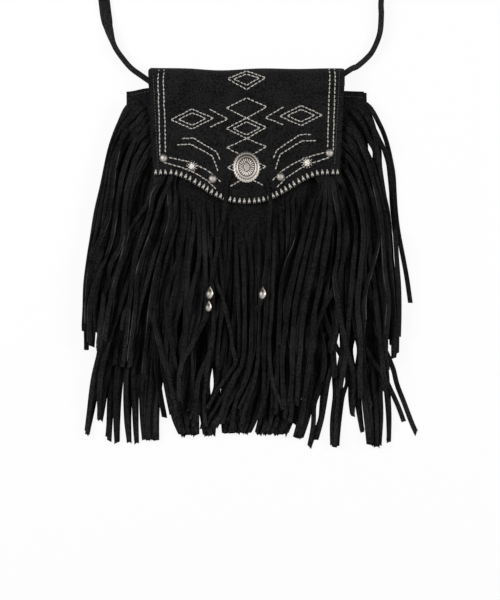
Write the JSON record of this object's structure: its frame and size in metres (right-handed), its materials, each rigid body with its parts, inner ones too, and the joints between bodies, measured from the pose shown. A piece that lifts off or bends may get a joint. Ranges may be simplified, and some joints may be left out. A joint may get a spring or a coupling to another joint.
{
  "type": "fringed shoulder bag",
  "caption": "Flat suede shoulder bag with a fold-over embroidered flap, layered side-swept fringe, silver trim, beaded laces and a long narrow strap.",
  "frame": {"origin": "middle of the pouch's back face, on the surface that the bag lies on", "axes": "+Z out of the bag's front, +Y from the pouch towards the strap, +X to the right seen from the front"},
  "size_m": [0.3469, 0.7241, 0.0359],
  "materials": {
    "body_suede": "black suede, napped",
    "flap_suede": "black suede, napped and embroidered",
    "fringe_suede": "black suede, cut into strands",
    "strap_suede": "black suede strap",
    "lace_suede": "black suede lace",
    "antique_silver": "cast, silver plated, darkened in the hollows",
    "bright_silver": "pressed and plated bright",
    "nickel_plate": "plated snap"
  },
  "bodies": {
    "pouch": {"back_panel": "body_suede", "front_panel": "body_suede", "fringe_lower": "fringe_suede", "fringe_middle": "fringe_suede", "fringe_upper_left": "fringe_suede", "fringe_upper_right": "fringe_suede", "strap": "strap_suede", "strap_tab_left": "strap_suede", "strap_tab_right": "strap_suede", "snap_stud": "nickel_plate"},
    "flap": {"flap_outer": "flap_suede", "flap_facing": "body_suede", "concho": "antique_silver", "snap_socket": "nickel_plate", "thong_left": "lace_suede", "thong_right": "lace_suede", "bead_left_upper": "antique_silver", "bead_left_lower": "antique_silver", "bead_right": "antique_silver", "star_stud_left": "bright_silver", "dome_stud_left_upper": "bright_silver", "dome_stud_left_lower": "bright_silver", "star_stud_right": "bright_silver", "dome_stud_right_upper": "bright_silver", "dome_stud_right_lower": "bright_silver"}
  },
  "joints": [
    {"name": "flap_hinge", "type": "hinge", "parent": "pouch", "child": "flap", "pos_m": [0, 0.137, 0.00515], "axis": [-1, 0, 0], "range_deg": [0, 125]}
  ]
}
